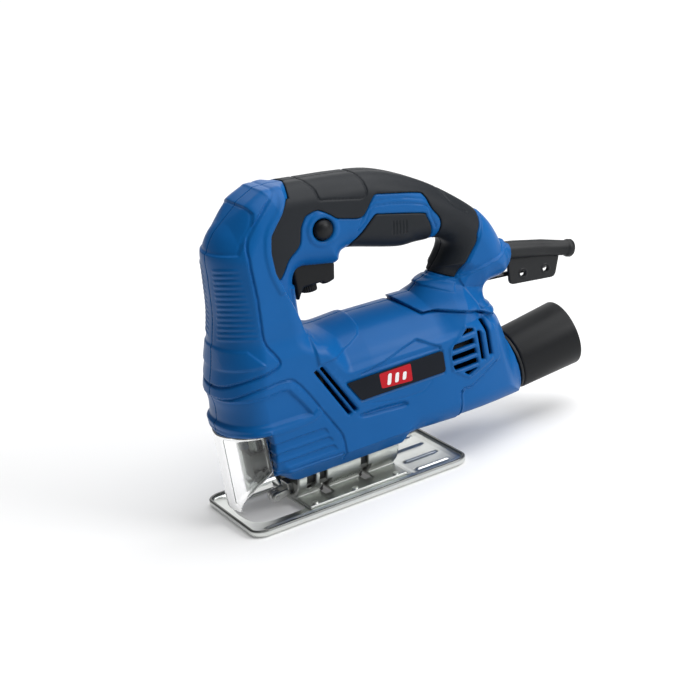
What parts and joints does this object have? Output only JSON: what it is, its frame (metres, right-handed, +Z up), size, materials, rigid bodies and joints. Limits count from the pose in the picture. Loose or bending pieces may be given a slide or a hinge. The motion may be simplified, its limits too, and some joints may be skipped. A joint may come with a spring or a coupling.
{
  "type": "jigsaw power tool",
  "caption": "Corded D-handle jigsaw with a tilting steel base, clear chip guard, soft grip, trigger with speed dial, dust hose adaptor and stored hex key.",
  "frame": {"origin": "centre of the base plate's flat underside", "axes": "+X towards the cord end, +Y to the tool's right, +Z up from the sole"},
  "size_m": [0.2318, 0.068, 0.1755],
  "materials": {
    "blue_shell": "satin moulded ABS",
    "soft_grip": "charcoal soft overmould, matte",
    "black_plastic": "satin moulded black plastic",
    "black_rubber": "matte black rubber",
    "sign_plate": "dark printed sign film with a red tile",
    "pressed_steel": "nickel-plated pressed steel",
    "dark_steel": "blackened steel",
    "machined_steel": "ground steel",
    "cast_alloy": "die-cast alloy",
    "bronze": "sintered bronze",
    "brass": "brass",
    "copper": "enamelled copper",
    "laminations": "laminated electrical steel",
    "carbon": "pressed carbon",
    "white_nylon": "natural nylon",
    "clear_guard": "clear polycarbonate",
    "wire": "insulated wire"
  },
  "bodies": {
    "housing": {"left_housing": "blue_shell", "right_housing": "blue_shell", "left_grip": "soft_grip", "right_grip": "soft_grip", "left_badge": "sign_plate", "right_badge": "sign_plate", "housing_screws": "dark_steel", "clamp_screws": "dark_steel", "roller_arm": "pressed_steel", "roller_pin": "machined_steel", "gear_axle": "machined_steel", "front_bearing": "machined_steel", "rear_bearing": "machined_steel", "trigger_spring": "machined_steel", "lock_spring": "machined_steel", "cord_clamp_screws": "machined_steel", "tilt_shoe": "cast_alloy", "gearbox_plate": "cast_alloy", "lower_bush": "bronze", "upper_bush": "bronze", "stator_core": "laminations", "field_coils": "copper", "brushes": "carbon", "brush_springs": "brass", "brush_holders": "black_plastic", "switch_body": "black_plastic", "capacitor": "black_plastic", "cord_clamp": "black_plastic", "dust_duct": "black_plastic", "strain_relief": "black_rubber", "key_holder": "black_rubber", "port_seal": "black_rubber", "leads": "wire"},
    "base": {"base_plate": "pressed_steel", "tilt_saddle": "pressed_steel", "saddle_rivets": "pressed_steel"},
    "plunger": {"plunger_rod": "machined_steel", "yoke": "dark_steel", "blade_clamp": "dark_steel", "blade_screws": "dark_steel"},
    "roller": {"guide_roller": "machined_steel"},
    "armature": {"motor_shaft": "machined_steel", "pinion": "machined_steel", "armature_core": "laminations", "armature_windings": "copper", "commutator": "copper", "cooling_fan": "white_nylon"},
    "gear": {"drive_gear": "machined_steel", "crank_pin": "machined_steel"},
    "trigger": {"trigger": "black_plastic"},
    "dial": {"speed_dial": "black_plastic"},
    "lock": {"lock_button": "black_plastic"},
    "guard": {"chip_guard": "clear_guard"},
    "adaptor": {"dust_adaptor": "black_plastic"},
    "key": {"hex_key": "dark_steel"}
  },
  "joints": [
    {"name": "base_tilt", "type": "hinge", "parent": "housing", "child": "base", "pos_m": [0, 0, 0.023], "axis": [1, 0, 0], "range_deg": [-45, 45]},
    {"name": "plunger_slide", "type": "slide", "parent": "housing", "child": "plunger", "axis": [0, 0, 1], "range_m": [-0.009, 0.009]},
    {"name": "roller_spin", "type": "hinge", "parent": "housing", "child": "roller", "pos_m": [-0.0375, 0, 0.006], "axis": [0, 1, 0], "continuous": true},
    {"name": "armature_spin", "type": "hinge", "parent": "housing", "child": "armature", "pos_m": [0, 0, 0.064], "axis": [1, 0, 0], "continuous": true},
    {"name": "gear_spin", "type": "hinge", "parent": "housing", "child": "gear", "pos_m": [0, 0, 0.092], "axis": [1, 0, 0], "continuous": true},
    {"name": "trigger_press", "type": "slide", "parent": "housing", "child": "trigger", "axis": [0, 0, 1], "range_m": [0, 0.006], "stiffness_N_per_m": 900, "springref_m": -0.004, "deforming": ["trigger_spring"]},
    {"name": "dial_turn", "type": "hinge", "parent": "trigger", "child": "dial", "pos_m": [0.0042, 0, 0.1126], "axis": [0, 0, 1], "range_deg": [-140, 140]},
    {"name": "lock_press", "type": "slide", "parent": "housing", "child": "lock", "axis": [0, 1, 0], "range_m": [0, 0.0025], "stiffness_N_per_m": 600, "springref_m": -0.002, "deforming": ["lock_spring"]},
    {"name": "guard_pull", "type": "slide", "parent": "housing", "child": "guard", "axis": [-1, 0, 0], "range_m": [0, 0.03]},
    {"name": "adaptor_pull", "type": "slide", "parent": "housing", "child": "adaptor", "axis": [0.9934, 0, 0.1149], "range_m": [0, 0.03]},
    {"name": "key_pull", "type": "slide", "parent": "housing", "child": "key", "axis": [0.9952, 0, -0.0976], "range_m": [0, 0.045]}
  ],
  "couplings": [
    {"joint": "gear_spin", "follows": "armature_spin", "ratio": -0.16667}
  ]
}
